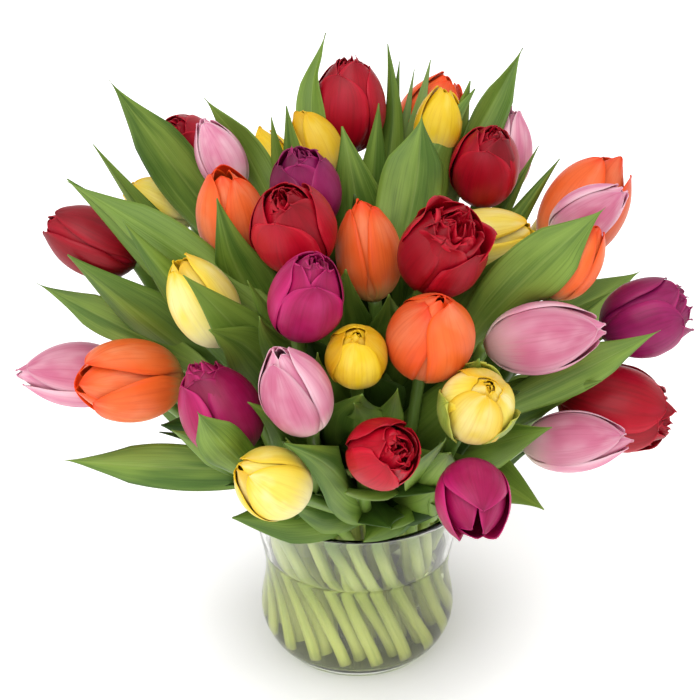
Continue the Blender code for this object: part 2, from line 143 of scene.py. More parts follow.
def read_tulip(node):
    """The stem's line, and the base, axis, length and half width of the head."""
    rings = rings_of(node, lowest_corner(node), RING_CORNERS)
    middles = np.array([ring.mean(axis=0) for ring in rings])
    widths = [np.linalg.norm(ring - middle, axis=1).mean() for ring, middle in zip(rings, middles)]
    axis = unit(middles[-1] - middles[STEM_RINGS])
    length = np.linalg.norm(middles[-1] - middles[STEM_RINGS]) / (1 - FIRST_HEAD_SHARE)
    return {
        "stem": middles[:STEM_RINGS],
        "base": middles[-1] - axis * length,
        "axis": axis,
        "length": length,
        "half": max(widths[STEM_RINGS:]),
    }


TULIPS = {node: read_tulip(node) for node in TULIP_NODES}
print(len(TULIPS), "tulips, heads", round(min(t["length"] for t in TULIPS.values()) * 1000), "to",
      round(max(t["length"] for t in TULIPS.values()) * 1000), "mm long")

# %% [markdown]
# ## Thin living sheets
# A petal or a leaf is a sheet well under a millimetre thick, thickest down its middle and almost
# nothing at its edge. A Solidify modifier would give it one thickness all over, so the sheet is
# made as a grid of points, and its two faces are set apart along the normals and joined round the
# rim. The result is a closed skin. Its UV runs across and along the sheet, for the veins, and
# two more values say how this sheet's tone differs from its neighbours' and which face is which.

# %% Closed sheets from grids
def grid_normals(grid):
    across = np.gradient(grid, axis=1)
    along = np.gradient(grid, axis=0)
    normals = np.cross(across, along)
    normals[-1] = normals[-2]
    return unit(normals)


def sheet_skin(grid, middle_thickness, edge_thickness, tone):
    """One closed skin round a grid of points: its points, faces, UVs, tone and side."""
    rows, columns, _ = grid.shape
    across = np.linspace(-1, 1, columns)
    thickness = edge_thickness + (middle_thickness - edge_thickness) * (1 - across**2)
    shift = grid_normals(grid) * thickness[None, :, None] / 2
    points = np.vstack([(grid + shift).reshape(-1, 3), (grid - shift).reshape(-1, 3)])
    half = rows * columns
    number = np.arange(half).reshape(rows, columns)
    a, b = number[:-1, :-1].ravel(), number[:-1, 1:].ravel()
    c, d = number[1:, 1:].ravel(), number[1:, :-1].ravel()
    faces = np.vstack([np.column_stack([a, b, c, d]), np.column_stack([d, c, b, a]) + half])
    rim = np.concatenate([number[0], number[1:, -1], number[-1, -2::-1], number[-2:0:-1, 0]])
    after = np.roll(rim, -1)
    faces = np.vstack([faces, np.column_stack([after, rim, rim + half, after + half])])
    u, v = np.meshgrid(np.linspace(0, 1, columns), np.linspace(0, 1, rows))
    uvs = np.tile(np.column_stack([u.ravel(), v.ravel()]), (2, 1))
    return {"points": points, "faces": faces, "uvs": uvs, "tone": np.full(2 * half, tone),
            "side": np.repeat([0.0, 1.0], half)}


# %% Closed tubes from a line
def tube_skin(line, radii, sides, tone=0.5):
    """One closed round skin along a line, with a flat cap at each end."""
    ahead = unit(np.gradient(line, axis=0))
    side = unit(np.cross(ahead[0], [0.3, 0.9, 0.2]))
    angles = np.arange(sides) * 2 * math.pi / sides
    rings = []
    for middle, way, radius in zip(line, ahead, radii):
        side = unit(side - way * (side @ way))
        other = np.cross(way, side)
        rings.append(middle + radius * (np.outer(np.cos(angles), side) + np.outer(np.sin(angles), other)))
    number = np.arange(len(line) * sides).reshape(len(line), sides)
    near, far = number[:-1].ravel(), number[1:].ravel()
    near_next, far_next = np.roll(number[:-1], -1, 1).ravel(), np.roll(number[1:], -1, 1).ravel()
    quads = np.column_stack([near, near_next, far_next, far])
    v = np.repeat(np.linspace(0, 1, len(line)), sides)
    u = np.tile(np.arange(sides) / sides, len(line))
    return {"points": np.vstack(rings), "faces": quads, "caps": [number[0][::-1], number[-1]],
            "uvs": np.column_stack([u, v]), "tone": np.full(len(v), tone), "side": np.zeros(len(v))}


# %% One object from its skins
def set_attribute(mesh, name, values):
    mesh.attributes.new(name, "FLOAT", "POINT").data.foreach_set("value", values.astype(np.float32))


def new_piece(name, skins, surface, node=None):
    """An object of closed skins that rides with the bouquet and stands for a solid, if it has one."""
    points, faces, start = [], [], 0
    for skin in skins:
        points.append(skin["points"])
        faces += (skin["faces"] + start).tolist()
        faces += [(cap + start).tolist() for cap in skin.get("caps", [])]
        start += len(skin["points"])
    mesh = bpy.data.meshes.new(name)
    mesh.from_pydata(np.vstack(points).tolist(), [], faces)
    uvs = np.vstack([skin["uvs"] for skin in skins])
    loops = np.empty(len(mesh.loops), np.int32)
    mesh.loops.foreach_get("vertex_index", loops)
    mesh.uv_layers.new(name="sheet").data.foreach_set("uv", uvs[loops].astype(np.float32).ravel())
    set_attribute(mesh, "tone", np.concatenate([skin["tone"] for skin in skins]))
    set_attribute(mesh, "side", np.concatenate([skin["side"] for skin in skins]))
    mesh.shade_smooth()
    mesh.materials.append(surface)
    made = bpy.data.objects.new(name, mesh)
    bpy.context.scene.collection.objects.link(made)
    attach(made, "root")
    if node:
        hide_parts(node)
    return made

# %% [markdown]
# ## Finishes that grow
# No petal is one flat colour. It is pale or yellow where it joins the stem, strongest in its
# middle, and often lighter or darker along its edge, with fine veins that run its whole length, and
# a lighter bloom on its outer face that is partly painted sheen, lightest over the petal's middle.
# Painting all that by hand for some four hundred and fifty petals is out of reach, so the colour is
# worked out from the sheet's own UV: a ramp along it, a band at its edge, and noise pulled out into
# streaks. A small helper keeps the node lists short.

# %% Node helper
def srgb(red, green, blue):
    """A colour as a painter reads it, 0 to 255, turned into the light values that shaders use."""
    shares = [channel / 255 for channel in (red, green, blue)]
    return (*[s / 12.92 if s <= 0.04045 else ((s + 0.055) / 1.055) ** 2.4 for s in shares], 1.0)


class Finish:
    """A material whose nodes are added one call at a time."""

    def __init__(self, name):
        self.material = bpy.data.materials.new(name)
        self.material.use_nodes = True
        self.tree = self.material.node_tree
        self.shader = self.tree.nodes["Principled BSDF"]

    def node(self, kind, inputs=(), **settings):
        made = self.tree.nodes.new("ShaderNode" + kind)
        for key, value in settings.items():
            setattr(made, key, value)
        for key, value in dict(inputs).items():
            self.feed(made.inputs[key], value)
        return made.outputs

    def feed(self, socket, value):
        if isinstance(value, bpy.types.NodeSocket):
            self.tree.links.new(value, socket)
        else:
            socket.default_value = value

    def math(self, operation, first, second=0.0):
        return self.node("Math", {0: first, 1: second}, operation=operation)[0]

    def times(self, first, second):
        return self.math("MULTIPLY", first, second)

    def between(self, value, low, high):
        """0 below low, 1 above high, and a smooth rise between them."""
        settings = {"Value": value, "From Min": low, "From Max": high}
        return self.node("MapRange", settings, interpolation_type="SMOOTHSTEP")[0]

    def mix(self, share, first, second, blend="MIX"):
        made = self.tree.nodes.new("ShaderNodeMix")
        made.data_type = "RGBA"
        made.blend_type = blend
        for socket, value in zip((made.inputs[0], made.inputs[6], made.inputs[7]), (share, first, second)):
            self.feed(socket, value)
        return made.outputs[2]

    def ramp(self, value, stops):
        made = self.tree.nodes.new("ShaderNodeValToRGB")
        made.color_ramp.interpolation = "EASE"
        for _ in stops[2:]:
            made.color_ramp.elements.new(0.5)
        for element, (place, colour) in zip(made.color_ramp.elements, stops):
            element.position = place
            element.color = colour
        self.feed(made.inputs[0], value)
        return made.outputs[0]

    def noise(self, vector, scale, detail=2.0, roughness=0.5):
        settings = {"Vector": vector, "Scale": scale, "Detail": detail, "Roughness": roughness}
        return self.node("TexNoise", settings)[0]

    def attribute(self, name):
        return self.node("Attribute", attribute_name=name)[2]

    def sheet_place(self):
        """Across (0 to 1) and along (0 to 1) the sheet."""
        place = self.node("SeparateXYZ", {0: self.node("UVMap", uv_map="sheet")[0]})
        return place[0], place[1]

    def vector(self, x, y, z):
        return self.node("CombineXYZ", {0: x, 1: y, 2: z})[0]

    def bump(self, height, strength, distance):
        settings = {"Height": height, "Strength": strength, "Distance": distance}
        return self.node("Bump", settings)["Normal"]

    def set(self, **inputs):
        for key, value in inputs.items():
            self.feed(self.shader.inputs[key.replace("_", " ")], value)
        return self.material


# %% Petal finish
def petal_finish(name, foot, body, tip, edge, sheen_bloom_colour, shade, foot_reach=0.22, sheen_bloom_share=0.35):
    """Foot, body and tip colours along the petal, then its edge, its bloom with painted sheen on the outer
    face, and its dark veins.
    """
    made = Finish(name)
    across, along = made.sheet_place()
    tone = made.attribute("tone")
    inner = made.attribute("side")
    sideways = made.math("ABSOLUTE", made.math("SUBTRACT", made.times(across, 2.0), 1.0))
    streaks = made.vector(made.times(across, 26.0), made.times(along, 1.6), made.times(tone, 31.0))
    veins = made.noise(streaks, 1.0, 4.0, 0.6)
    clouds = made.vector(made.times(across, 3.0), made.times(along, 2.6), made.times(tone, 57.0))
    patches = made.noise(clouds, 1.0, 2.0)
    wander = made.math("ADD", along, made.times(made.math("SUBTRACT", veins, 0.5), 0.22))
    colour = made.ramp(wander, [(0.0, foot), (foot_reach, body), (0.68, body), (0.97, tip)])
    rim = made.times(made.between(sideways, 0.55, 1.0), made.between(along, 0.15, 0.5))
    colour = made.mix(made.times(rim, 0.75), colour, edge)
    # Painted sheen: a lighter bloom colour in patches over the middle of the outer face, partly the petal's own
    # bloom and partly painted light.
    sheen_bloom_mask = made.times(made.between(patches, 0.38, 0.72), made.between(sideways, 1.0, 0.25))
    sheen_bloom_mask = made.times(sheen_bloom_mask, made.math("SUBTRACT", 1.0, inner))
    colour = made.mix(made.times(sheen_bloom_mask, sheen_bloom_share), colour, sheen_bloom_colour)
    colour = made.mix(made.times(made.between(veins, 0.56, 0.30), 0.24), colour, shade, "MULTIPLY")
    darker = made.times(made.between(tone, 0.45, 1.0), 0.45)
    colour = made.mix(darker, colour, shade, "MULTIPLY")
    rough = made.math("ADD", 0.34, made.times(patches, 0.22))
    made.shader.subsurface_method = "BURLEY"
    folds = made.math("ADD", veins, made.times(patches, 3.0))
    return made.set(Base_Color=colour, Roughness=rough, Normal=made.bump(folds, 0.20, 0.0006),
                    Subsurface_Weight=0.05, Subsurface_Radius=(0.004, 0.002, 0.001), Subsurface_Scale=0.3,
                    Specular_IOR_Level=0.28)


# %% The colours of this bouquet
# The fifth colour of each is its bloom, which is partly painted sheen.
PETALS = {
    "red": petal_finish("red_petal", srgb(106, 2, 18), srgb(160, 0, 26), srgb(138, 0, 22), srgb(196, 8, 42),
                        srgb(186, 18, 54), srgb(112, 36, 54), sheen_bloom_share=0.30),
    "scarlet": petal_finish("scarlet_petal", srgb(104, 2, 16), srgb(176, 0, 28), srgb(154, 0, 24),
                            srgb(206, 12, 44), srgb(194, 26, 58), srgb(112, 36, 54), sheen_bloom_share=0.28),
    "orange": petal_finish("orange_petal", srgb(228, 186, 112), srgb(234, 104, 44), srgb(238, 64, 8),
                           srgb(242, 88, 20), srgb(234, 148, 104), srgb(206, 92, 66), sheen_bloom_share=0.55),
    "yellow": petal_finish("yellow_petal", srgb(228, 216, 130), srgb(228, 192, 28), srgb(230, 184, 14),
                           srgb(236, 200, 34), srgb(240, 222, 112), srgb(206, 158, 72), foot_reach=0.34),
    "lime": petal_finish("lime_petal", srgb(150, 170, 80), srgb(140, 160, 60), srgb(186, 188, 64),
                         srgb(198, 196, 84), srgb(182, 192, 104), srgb(110, 140, 60), foot_reach=0.3),
    "primrose": petal_finish("primrose_petal", srgb(228, 226, 172), srgb(232, 212, 88), srgb(234, 192, 28),
                             srgb(238, 200, 38), srgb(240, 232, 170), srgb(214, 176, 92), foot_reach=0.45,
                             sheen_bloom_share=0.6),
    "pink": petal_finish("pink_petal", srgb(236, 222, 210), srgb(210, 124, 154), srgb(214, 134, 164),
                         srgb(238, 204, 212), srgb(234, 198, 206), srgb(196, 112, 148), foot_reach=0.30,
                         sheen_bloom_share=0.6),
    "magenta": petal_finish("magenta_petal", srgb(112, 14, 66), srgb(162, 4, 78), srgb(142, 4, 70),
                            srgb(202, 38, 116), srgb(190, 58, 122), srgb(132, 44, 90)),
    "purple": petal_finish("purple_petal", srgb(100, 14, 62), srgb(140, 10, 82), srgb(122, 6, 72),
                           srgb(176, 36, 108), srgb(168, 58, 118), srgb(122, 44, 90)),
}
print(len(PETALS), "petal colours")


# %% Leaf and stem finishes
def leaf_finish(name, dark, light, under, pale):
    """Parallel veins, a paler rib and foot, and a glaucous underside."""
    made = Finish(name)
    across, along = made.sheet_place()
    tone = made.attribute("tone")
    under_side = made.attribute("side")
    offset = made.times(tone, 23.0)
    streaks = made.vector(made.times(across, 46.0), made.times(along, 1.3), offset)
    fine = made.noise(streaks, 1.0, 3.0, 0.65)
    clouds = made.vector(made.times(across, 3.2), made.times(along, 2.4), offset)
    wide = made.noise(clouds, 1.0, 2.0)
    colour = made.mix(made.between(wide, 0.32, 0.70), dark, light)
    colour = made.mix(made.times(made.between(tone, 0.35, 1.0), 0.6), colour, light)
    colour = made.mix(made.times(made.between(fine, 0.50, 0.72), 0.20), colour, pale)
    colour = made.mix(made.times(made.between(fine, 0.48, 0.30), 0.30), colour, srgb(36, 62, 14))
    rib = made.between(made.math("ABSOLUTE", made.math("SUBTRACT", across, 0.5)), 0.045, 0.0)
    colour = made.mix(made.times(rib, 0.20), colour, pale)
    colour = made.mix(made.times(made.between(along, 0.30, 0.0), 0.4), colour, pale)
    colour = made.mix(made.times(under_side, 0.55), colour, under)
    ridges = made.math("ADD", fine, made.times(rib, -0.8))
    rough = made.math("ADD", 0.40, made.times(wide, 0.18))
    return made.set(Base_Color=colour, Roughness=rough, Normal=made.bump(ridges, 0.25, 0.0006),
                    Specular_IOR_Level=0.35, Subsurface_Weight=0.04, Subsurface_Radius=(0.002, 0.004, 0.001),
                    Subsurface_Scale=0.3)


def stem_finish():
    """Pale and yellowish down in the water, partly its own colour and partly painted light, fresh green above
    it.
    """
    made = Finish("stem_green")
    across, along = made.sheet_place()
    streaks = made.vector(made.times(across, 9.0), made.times(along, 5.0),
                          made.times(made.attribute("tone"), 17.0))
    grain = made.noise(streaks, 1.0, 3.0)
    # Painted light: the foot, which stands in the water, is lighter than a stem's own pale foot, to make up for
    # the light that the glass and water hold back.
    colour = made.ramp(along, [(0.0, srgb(226, 228, 156)), (0.32, srgb(198, 210, 120)),
                               (0.48, srgb(116, 144, 60)), (1.0, srgb(100, 130, 52))])
    colour = made.mix(made.times(made.between(grain, 0.45, 0.72), 0.30), colour, srgb(120, 150, 62))
    return made.set(Base_Color=colour, Roughness=0.42, Normal=made.bump(grain, 0.2, 0.0005),
                    Specular_IOR_Level=0.45, Subsurface_Weight=0.05, Subsurface_Radius=(0.002, 0.004, 0.001),
                    Subsurface_Scale=0.4)


LEAF = leaf_finish("tulip_leaf", srgb(68, 102, 26), srgb(118, 146, 54), srgb(122, 146, 84),
                   srgb(158, 178, 92))
# A darker copy of the leaf finish: painted shade for the leaves deep inside the bunch.
PAINTED_SHADE_LEAF = leaf_finish("painted_shade_leaf", srgb(36, 62, 16), srgb(70, 100, 32), srgb(72, 98, 46),
                        srgb(92, 118, 50))
STEM = stem_finish()
print("leaves in two greens, stems in one")

# %% [markdown]
# ## Stems
# A tulip's stem is round and smooth, pale and yellowish at its cut foot and a fresh green further
# up. In the water its foot is painted lighter still, as painted light where the glass and water dim it.
# Its line comes from the solid, so here it is only drawn out smoothly, with a little swelling towards the
# head and a cut foot. A bevelled curve would do as well, but the skin shares the sheets' UVs.

# %% Stems
STEM_RADIUS = 0.0035
STEM_SIDES = 14
STEM_ROWS = 48
HEAD_SINK = 0.0015          # how far a stem runs up into its flower


def stem_skin(tulip, tone):
    line = smooth_line(np.vstack([tulip["stem"], tulip["base"] + tulip["axis"] * HEAD_SINK]), STEM_ROWS)
    along = np.linspace(0, 1, len(line))
    swelling = 0.10 * np.exp(-((along - 1) / 0.03) ** 2)
    waver = 0.05 * np.sin(along * 9 + tone * 6)
    return tube_skin(line, STEM_RADIUS * (1.0 + swelling + waver), STEM_SIDES, tone)


for number, (node, tulip) in enumerate(TULIPS.items()):
    new_piece(node + "_stem", [stem_skin(tulip, (number * 0.618) % 1)], STEM, node)
print(len(TULIPS), "stems,", STEM_SIDES, "sides each")

# %% [markdown]
# ## Petals
# A tulip has six petals, three outside and three within, each a spoon that hugs the one behind
# it. The heart of the flower is hidden until it opens. The doubles, here the reds and the magentas,
# have whorl after whorl of smaller, crumpled petals. One function makes any of them: the petal is
# bent round the flower's axis at the radius that the flower has at that height, so it always
# hugs the form, and a few numbers set how wide, how open and how ruffled it is.

# %% One petal
PETAL_ROWS = 30
PETAL_COLUMNS = 15
PETAL_THICKNESS = 0.0007
PETAL_EDGE = 0.00025
WIDEST_WRAP = 1.35          # radians that a petal may reach round the flower, either side of its middle
EDGE_LIFT = 0.0009          # how far its edges stand off the petal beneath
RIB_DEPTH = 0.0004
RIB_WIDTH = 0.12
SHOULDER_DROP = 0.06        # how far its shoulders sink below its tip, as a share of the head's length
# How wide the flower is, and how wide one petal is, from its foot to its tip.
GOBLET = curve_through([(0, 0.14), (0.04, 0.36), (0.11, 0.64), (0.22, 0.86), (0.36, 0.98), (0.48, 1.0),
                        (0.62, 0.95), (0.76, 0.81), (0.88, 0.58), (0.96, 0.36), (1.0, 0.20)])
SPOON = curve_through([(0, 0.26), (0.08, 0.46), (0.20, 0.74), (0.34, 0.95), (0.46, 1.0), (0.60, 0.95),
                       (0.74, 0.79), (0.85, 0.58), (0.93, 0.36), (0.98, 0.17), (1.0, 0.02)])
PADDLE = curve_through([(0, 0.26), (0.08, 0.46), (0.20, 0.72), (0.36, 0.94), (0.52, 1.0), (0.68, 0.97),
                        (0.80, 0.86), (0.89, 0.66), (0.95, 0.42), (0.985, 0.20), (1.0, 0.02)])
LANCE = curve_through([(0, 0.26), (0.08, 0.46), (0.20, 0.74), (0.35, 0.95), (0.47, 1.0), (0.60, 0.93),
                       (0.73, 0.74), (0.85, 0.48), (0.93, 0.26), (0.98, 0.10), (1.0, 0.01)])


def petal_grid(tulip, turn, rng, outline=SPOON, length=1.0, width=1.0, girth=1.0, offset=0.0,
               gape=0.0, flare=0.0, ruffle=0.0, tuck=0.0012, bud=0.0):
    """The points of one petal, PETAL_ROWS from its foot to its tip by PETAL_COLUMNS across.

    Girth scales the form that it hugs, gape opens its top, flare bends its tip outward, ruffle
    crumples its edge, tuck slips one edge under the next petal, and bud draws its top inward.
    """
    u = np.linspace(-1, 1, PETAL_COLUMNS)[None, :]
    v = (1 - (1 - np.linspace(0, 1, PETAL_ROWS)) ** 1.5)[:, None]
    half = tulip["half"]
    top = v**2 * (3 - 2 * v)
    form = half * girth * GOBLET(v * length) * (1 - bud * v**5)
    radius = form + half * (gape * top * v + flare * v**8) + offset * v**0.3
    spread = np.minimum(outline(v) * width * half / np.maximum(radius, 0.2 * half), WIDEST_WRAP)
    waves = rng.uniform(0, 6.28, 4)
    crumple = np.sin(v * 17 + waves[0] + u * 2) * 0.6 + np.sin(v * 31 + waves[1] - u * 3) * 0.4
    crease = np.sin(u * 6 + waves[2] + v * 2) * np.sin(v * 3.1)
    edge = np.abs(u) ** 2.5
    rib = RIB_DEPTH * np.exp(-((u / RIB_WIDTH) ** 2)) * v * (1 - 0.5 * v)
    radius = radius + edge * (EDGE_LIFT + ruffle * crumple) * top + tuck * u * np.sin(v * 2.9)
    radius = radius + ruffle * 0.5 * crease * top - rib
    lean = rng.uniform(-0.05, 0.05) * v
    angle = turn + spread * u + lean + ruffle * 20 * np.sin(v * 5 + waves[3]) * top
    height = tulip["length"] * length * v - ruffle * 1.2 * edge * crumple * top
    height = height - SHOULDER_DROP * tulip["length"] * (1 - np.cos(spread * u)) * top
    side = unit(np.cross(tulip["axis"], [0.12, 0.31, 0.94]))
    other = np.cross(tulip["axis"], side)
    way = np.cos(angle)[..., None] * side + np.sin(angle)[..., None] * other
    return tulip["base"] + way * radius[..., None] + (height[..., None] + 0 * way) * tulip["axis"]


# %% One flower
TURN_JITTER = 0.09
LENGTH_RANGE = (0.93, 1.02)
GAPE_RANGE = (0.2, 2.0)


def petal_skins(tulip, rng, whorls):
    """The skins of a flower's whorls, each (count, turn, settings); no two petals come out alike."""
    skins = []
    for count, turn, settings in whorls:
        for i in range(count):
            tone = rng.uniform(0, 1)
            jitter = rng.uniform(-TURN_JITTER, TURN_JITTER)
            sized = dict(settings)
            sized["length"] = settings.get("length", 1.0) * rng.uniform(*LENGTH_RANGE)
            sized["gape"] = settings.get("gape", 0.0) * rng.uniform(*GAPE_RANGE)
            grid = petal_grid(tulip, turn + i * 2 * math.pi / count + jitter, rng, **sized)
            skins.append(sheet_skin(grid, PETAL_THICKNESS, PETAL_EDGE, tone))
    return skins


def single_whorls(turn, gape=0.06, outline=SPOON, width=1.08, flare=0.0, bud=0.25):
    """Three petals outside and three within."""
    outer = {"outline": outline, "width": width, "offset": 0.0006, "gape": gape, "flare": flare,
             "tuck": 0.0004, "length": 0.97, "bud": bud}
    inner = {"outline": outline, "width": width, "girth": 0.93, "gape": gape * 0.6, "length": 1.0,
             "tuck": 0.0003, "bud": min(bud + 0.25, 0.9)}
    return [(3, turn, outer), (3, turn + math.pi / 3, inner)]


def lobed_whorls(turn, gape=0.02, ruffle=0.0004):
    """Blunt petals, four and four round three, closed over the middle."""
    rings = [(4, 1.0, 0.90, 0.95, 0.40), (4, 0.89, 0.80, 0.99, 0.65), (3, 0.66, 0.64, 1.0, 0.90)]
    shared = {"outline": PADDLE, "gape": gape, "ruffle": ruffle, "tuck": 0.0006}
    return [(count, turn + 0.8 * ring, {**shared, "width": width, "girth": girth, "length": length, "bud": bud})
            for ring, (count, girth, width, length, bud) in enumerate(rings)]


# Whorls of a double flower from the outside in: how many petals, then their girth, width and length.
DOUBLE = [(3, 1.0, 1.02, 0.92), (3, 0.92, 0.95, 0.97), (4, 0.78, 0.74, 1.0), (4, 0.60, 0.58, 1.0),
          (4, 0.42, 0.42, 1.0), (3, 0.22, 0.30, 0.98)]


def double_whorls(turn, gape=0.03, ruffle=0.0011, flare=0.05):
    """Whorl inside whorl of ever smaller and more crumpled petals."""
    whorls = []
    for ring, (count, girth, width, length) in enumerate(DOUBLE):
        settings = {"outline": PADDLE, "width": width, "girth": girth, "length": length, "tuck": 0.0006,
                    "gape": gape * (1 - 0.13 * ring), "ruffle": ruffle * (0.25 + 0.30 * ring),
                    "flare": flare if ring % 2 else 0.3 * flare, "bud": 0.10 + 0.08 * ring}
        whorls.append((count, turn + ring * 0.83, settings))
    return whorls


# %% The kinds in this bunch
# For each kind its petal colour, the slot of its finish, and how its whorls are made.
KINDS = {
    "red": ("red", "red_petals", lambda turn: double_whorls(turn, 0.05, 0.0017)),
    "magenta": ("magenta", "magenta_petals", lambda turn: double_whorls(turn, 0.06, 0.0019, 0.10)),
    "orange": ("orange", "orange_petals", lambda turn: single_whorls(turn, 0.04)),
    "yellow": ("yellow", "yellow_petals", lambda turn: single_whorls(turn, 0.04)),
    "pink": ("pink", "pink_petals", lambda turn: single_whorls(turn, 0.04, SPOON, 1.12, bud=0.4)),
}
# The flowers that differ from the rest of their colour.
CHANGED = {
    "red_tulip_6": ("red", lambda turn: single_whorls(turn, 0.09)),
    "red_tulip_8": ("scarlet", lambda turn: double_whorls(turn, 0.10, 0.0032, 0.20)),
    "red_tulip_5": ("scarlet", lambda turn: double_whorls(turn, 0.10, 0.0036, 0.45)),
    "red_tulip_4": ("scarlet", lambda turn: double_whorls(turn, 0.05, 0.0020, 0.12)),
    "red_tulip_7": ("red", lambda turn: double_whorls(turn, 0.16, 0.0013, 0.15)),
    "orange_tulip_7": ("orange", lambda turn: single_whorls(turn, 0.04, PADDLE, 1.0, bud=0.55)),
    "orange_tulip_6": ("orange", lambda turn: single_whorls(turn, 0.10, bud=0.1)),
    "orange_tulip_4": ("orange", lambda turn: single_whorls(turn, 0.10)),
    "magenta_tulip_3": ("purple", lambda turn: double_whorls(turn, 0.12, 0.0013, 0.25)),
    "magenta_tulip_6": ("purple", lambda turn: double_whorls(turn, 0.05, 0.0022, 0.12)),
    "magenta_tulip_4": ("magenta", lambda turn: single_whorls(turn, 0.05, LANCE, 1.1, 0.16, 0.2)),
    "yellow_tulip_4": ("primrose", lambda turn: single_whorls(turn, 0.03)),
    "yellow_tulip_5": ("primrose", lambda turn: single_whorls(turn, 0.02)),
    "yellow_tulip_3": ("primrose", lambda turn: single_whorls(turn, 0.08)),
    "yellow_tulip_6": ("yellow", lambda turn: lobed_whorls(turn, 0.03)),
    "yellow_tulip_7": ("primrose", lambda turn: lobed_whorls(turn, 0.04, 0.0006)),
    "yellow_tulip_8": ("primrose", lambda turn: single_whorls(turn, 0.02, bud=0.45)),
}

for number, (node, tulip) in enumerate(TULIPS.items()):
    rng = np.random.default_rng(100 + number)
    family = node.split("_")[0]
    colour, slot, kind = KINDS[family]
    if node in CHANGED:
        colour, kind = CHANGED[node]
    skins = petal_skins(tulip, rng, kind(rng.uniform(0, 2)))
    new_piece(node + "_petals", skins, PETALS[colour], node)
# One yellow flower still has the green outer petals of a bud.
lime_bud = TULIPS["yellow_tulip_7"]
guards = [(3, 0.3, {"outline": SPOON, "width": 0.80, "girth": 1.05, "length": 0.72, "gape": 0.04,
                    "ruffle": 0.0006})]
guard_skins = petal_skins(lime_bud, np.random.default_rng(97), guards)
new_piece("yellow_tulip_7_guards", guard_skins, PETALS["lime"], "yellow_tulip_7")
petal_faces = sum(len(o.data.polygons) for o in bpy.data.objects if o.name.endswith("_petals"))
print(len(TULIPS), "flowers,", petal_faces, "faces")

# %% [markdown]
# ## Leaves
# A tulip leaf is a long strap that clasps its stem, gutters along its midrib, waves a little at its
# edges and ends in a point. The big ones have solids, and their three lines, left edge, midrib
# and right edge, are read from those. The many small leaves that fill the gaps are only looks:
# each has a width, a roll and two or three places to pass through, and is then eased off the
# flower heads round it, because leaves in a bunch lie against the flowers and never in them.

# %% Where the heads are
GATHER = np.array([0.0, 0.0, 0.115])
BEAD_SHARES = np.linspace(0.08, 0.92, 9)
HEAD_BEADS = np.vstack([t["base"] + np.outer(BEAD_SHARES, t["axis"] * t["length"]) for t in TULIPS.values()])
HEAD_RADII = np.concatenate([t["half"] * GOBLET(BEAD_SHARES) for t in TULIPS.values()])
LEAF_CLEARANCE = 0.0022


def off_the_heads(points):
    """How each point has to move to stand clear of the heads."""
    away = points[:, None] - HEAD_BEADS[None]
    distance = np.linalg.norm(away, axis=2)
    depth = HEAD_RADII[None] + LEAF_CLEARANCE - distance
    nearest = depth.argmax(axis=1)
    rows = np.arange(len(points))
    push = np.maximum(depth[rows, nearest], 0) / np.maximum(distance[rows, nearest], 1e-6)
    return away[rows, nearest] * push[:, None]


print(len(HEAD_BEADS), "beads stand for the heads")


# %% A leaf from its three lines
LEAF_ROWS = 44
LEAF_COLUMNS = 15
LEAF_THICKNESS = 0.0008
LEAF_EDGE = 0.0003
POINT_SHARE = 0.30          # the share of a leaf, up to its tip, that narrows to a point
LEAF_RIB_DEPTH = 0.0005
LEAF_RIB_WIDTH = 0.10


def leaf_skin(cage, rng, wave):
    """A leaf's skin from rings of left edge, midrib and right edge; its edges sway by the wave."""
    lines = smooth_line(np.asarray(cage).reshape(len(cage), 9), LEAF_ROWS).reshape(LEAF_ROWS, 3, 3)
    left, middle, right = lines[:, 0], lines[:, 1], lines[:, 2]
    v = np.linspace(0, 1, LEAF_ROWS)
    point = np.clip((1 - v) / POINT_SHARE, 0.02, 1)[:, None] ** 0.72
    half_across = (right - left) / 2 * point
    gutter = ((right + left) / 2 - middle) * point
    u = np.linspace(-1, 1, LEAF_COLUMNS)[None, :, None]
    grid = middle[:, None] + u * half_across[:, None] + np.abs(u) ** 1.6 * gutter[:, None]
    normals = grid_normals(grid)
    turns, phase = rng.uniform(1.2, 2.6), rng.uniform(0, 6.28, 2)
    swing = np.sin(turns * 6.28 * v + phase[0])[:, None] * np.maximum(u[..., 0], 0) ** 2
    swing = swing + np.sin(turns * 5.3 * v + phase[1])[:, None] * np.maximum(-u[..., 0], 0) ** 2
    calm = np.sin(np.clip(v * 1.15, 0, 1) * math.pi)[:, None]
    rib = -LEAF_RIB_DEPTH * np.exp(-((u[..., 0] / LEAF_RIB_WIDTH) ** 2)) * (1 - v[:, None])
    grid = grid + normals * ((wave * swing * calm) + rib)[..., None]
    return sheet_skin(grid, LEAF_THICKNESS, LEAF_EDGE, rng.uniform(0, 1))


# %% The leaves that have solids
LEAF_NODES = sorted((name for name in frame["nodes"] if name.startswith("leaf_")), key=lambda n: int(n[5:]))
LEAF_RING_CORNERS = 4
MIDDLE_RING = 4
BUNCH_MIDDLE = GATHER - [0, 0, 0.05]


